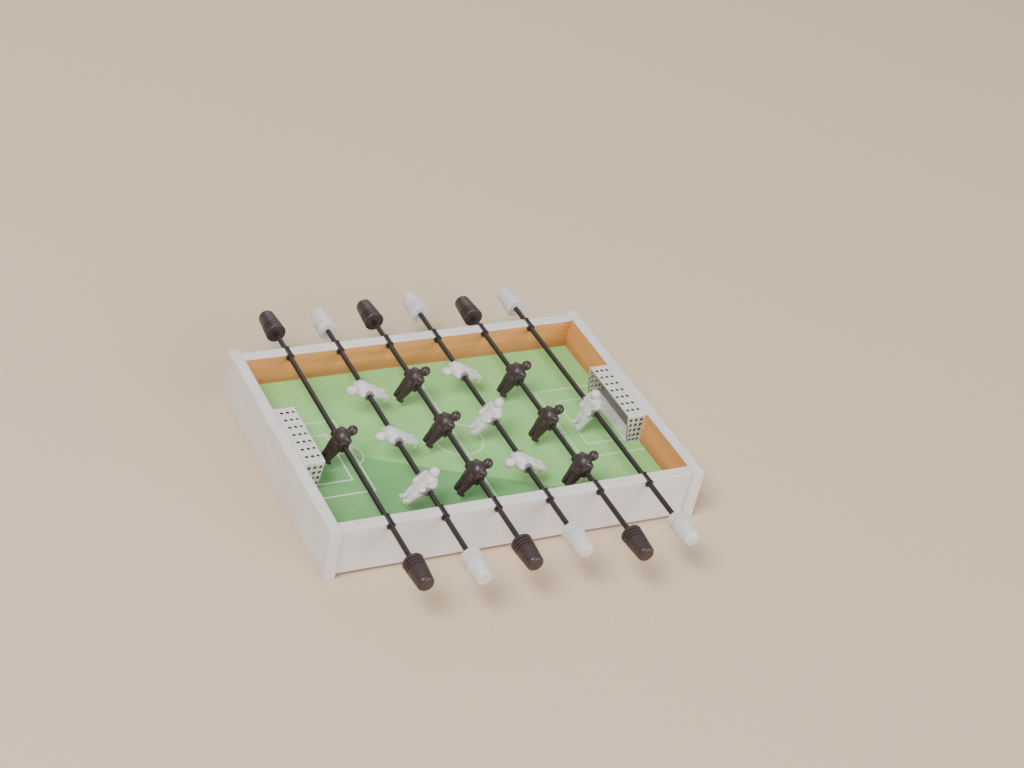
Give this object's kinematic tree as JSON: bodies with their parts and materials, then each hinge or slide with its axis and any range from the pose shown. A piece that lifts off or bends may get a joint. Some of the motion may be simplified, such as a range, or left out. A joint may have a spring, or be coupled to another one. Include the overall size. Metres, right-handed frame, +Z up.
{
  "type": "table-top foosball game",
  "caption": "Small table-top foosball game: a shallow white wooden tray with a green pitch, perforated goals, and dark rods that spin and slide with players and grips.",
  "frame": {"origin": "under the middle of the tray, on the surface that it stands on", "axes": "+X along the pitch from the left goal to the right goal, +Y across it from the front wall to the back wall and along the rods, +Z up"},
  "size_m": [0.3, 0.3325, 0.0553],
  "materials": {
    "painted_board": "warm white paint outside and on the edges, bare orange-brown board inside",
    "bare_board": "planed, unfinished",
    "beech": "turned, unfinished",
    "pitch_print": "satin green print on hardboard, a darker green sweep and pale lines",
    "goal_white": "moulded, soft gloss",
    "screw_steel": "zinc plated",
    "rod_enamel": "brown-black enamel",
    "nylon_bush": "moulded nylon",
    "grip_dark": "moulded, satin",
    "grip_white": "moulded, satin",
    "player_dark": "moulded, satin",
    "player_white": "moulded, satin"
  },
  "bodies": {
    "tray": {"left_end_board": "painted_board", "right_end_board": "painted_board", "front_wall": "painted_board", "back_wall": "painted_board", "pitch_panel": "pitch_print", "pitch_bearer": "bare_board", "corner_dowels": "beech", "left_goal_hood": "goal_white", "left_goal_floor": "goal_white", "left_goal_screws": "screw_steel", "right_goal_hood": "goal_white", "right_goal_floor": "goal_white", "right_goal_screws": "screw_steel"},
    "bushes_1": {"rod_1_front_bush": "nylon_bush", "rod_1_back_bush": "nylon_bush"},
    "rod_assembly_1": {"rod_1": "rod_enamel", "rod_1_front_grip": "grip_dark", "rod_1_back_grip": "grip_dark", "rod_1_goalkeeper": "player_dark"},
    "bushes_2": {"rod_2_front_bush": "nylon_bush", "rod_2_back_bush": "nylon_bush"},
    "rod_assembly_2": {"rod_2": "rod_enamel", "rod_2_front_grip": "grip_white", "rod_2_back_grip": "grip_white", "rod_2_player_back": "player_white", "rod_2_player_middle": "player_white", "rod_2_player_front": "player_white"},
    "bushes_3": {"rod_3_front_bush": "nylon_bush", "rod_3_back_bush": "nylon_bush"},
    "rod_assembly_3": {"rod_3": "rod_enamel", "rod_3_front_grip": "grip_dark", "rod_3_back_grip": "grip_dark", "rod_3_player_back": "player_dark", "rod_3_player_middle": "player_dark", "rod_3_player_front": "player_dark"},
    "bushes_4": {"rod_4_front_bush": "nylon_bush", "rod_4_back_bush": "nylon_bush"},
    "rod_assembly_4": {"rod_4": "rod_enamel", "rod_4_front_grip": "grip_white", "rod_4_back_grip": "grip_white", "rod_4_player_back": "player_white", "rod_4_player_middle": "player_white", "rod_4_player_front": "player_white"},
    "bushes_5": {"rod_5_front_bush": "nylon_bush", "rod_5_back_bush": "nylon_bush"},
    "rod_assembly_5": {"rod_5": "rod_enamel", "rod_5_front_grip": "grip_dark", "rod_5_back_grip": "grip_dark", "rod_5_player_back": "player_dark", "rod_5_player_middle": "player_dark", "rod_5_player_front": "player_dark"},
    "bushes_6": {"rod_6_front_bush": "nylon_bush", "rod_6_back_bush": "nylon_bush"},
    "rod_assembly_6": {"rod_6": "rod_enamel", "rod_6_front_grip": "grip_white", "rod_6_back_grip": "grip_white", "rod_6_goalkeeper": "player_white"}
  },
  "joints": [
    {"name": "rod_1_spin", "type": "hinge", "parent": "tray", "child": "bushes_1", "pos_m": [-0.10375, 0, 0.0395], "axis": [0, 1, 0], "continuous": true},
    {"name": "rod_1_slide", "type": "slide", "parent": "bushes_1", "child": "rod_assembly_1", "axis": [0, 1, 0], "range_m": [-0.02, 0.036]},
    {"name": "rod_2_spin", "type": "hinge", "parent": "tray", "child": "bushes_2", "pos_m": [-0.06225, 0, 0.0395], "axis": [0, 1, 0], "continuous": true},
    {"name": "rod_2_slide", "type": "slide", "parent": "bushes_2", "child": "rod_assembly_2", "axis": [0, 1, 0], "range_m": [-0.016, 0.04]},
    {"name": "rod_3_spin", "type": "hinge", "parent": "tray", "child": "bushes_3", "pos_m": [-0.02075, 0, 0.0395], "axis": [0, 1, 0], "continuous": true},
    {"name": "rod_3_slide", "type": "slide", "parent": "bushes_3", "child": "rod_assembly_3", "axis": [0, 1, 0], "range_m": [-0.0205, 0.0355]},
    {"name": "rod_4_spin", "type": "hinge", "parent": "tray", "child": "bushes_4", "pos_m": [0.02075, 0, 0.0395], "axis": [0, 1, 0], "continuous": true},
    {"name": "rod_4_slide", "type": "slide", "parent": "bushes_4", "child": "rod_assembly_4", "axis": [0, 1, 0], "range_m": [-0.024, 0.032]},
    {"name": "rod_5_spin", "type": "hinge", "parent": "tray", "child": "bushes_5", "pos_m": [0.06225, 0, 0.0395], "axis": [0, 1, 0], "continuous": true},
    {"name": "rod_5_slide", "type": "slide", "parent": "bushes_5", "child": "rod_assembly_5", "axis": [0, 1, 0], "range_m": [-0.0105, 0.0455]},
    {"name": "rod_6_spin", "type": "hinge", "parent": "tray", "child": "bushes_6", "pos_m": [0.10375, 0, 0.0395], "axis": [0, 1, 0], "continuous": true},
    {"name": "rod_6_slide", "type": "slide", "parent": "bushes_6", "child": "rod_assembly_6", "axis": [0, 1, 0], "range_m": [-0.017, 0.039]}
  ]
}
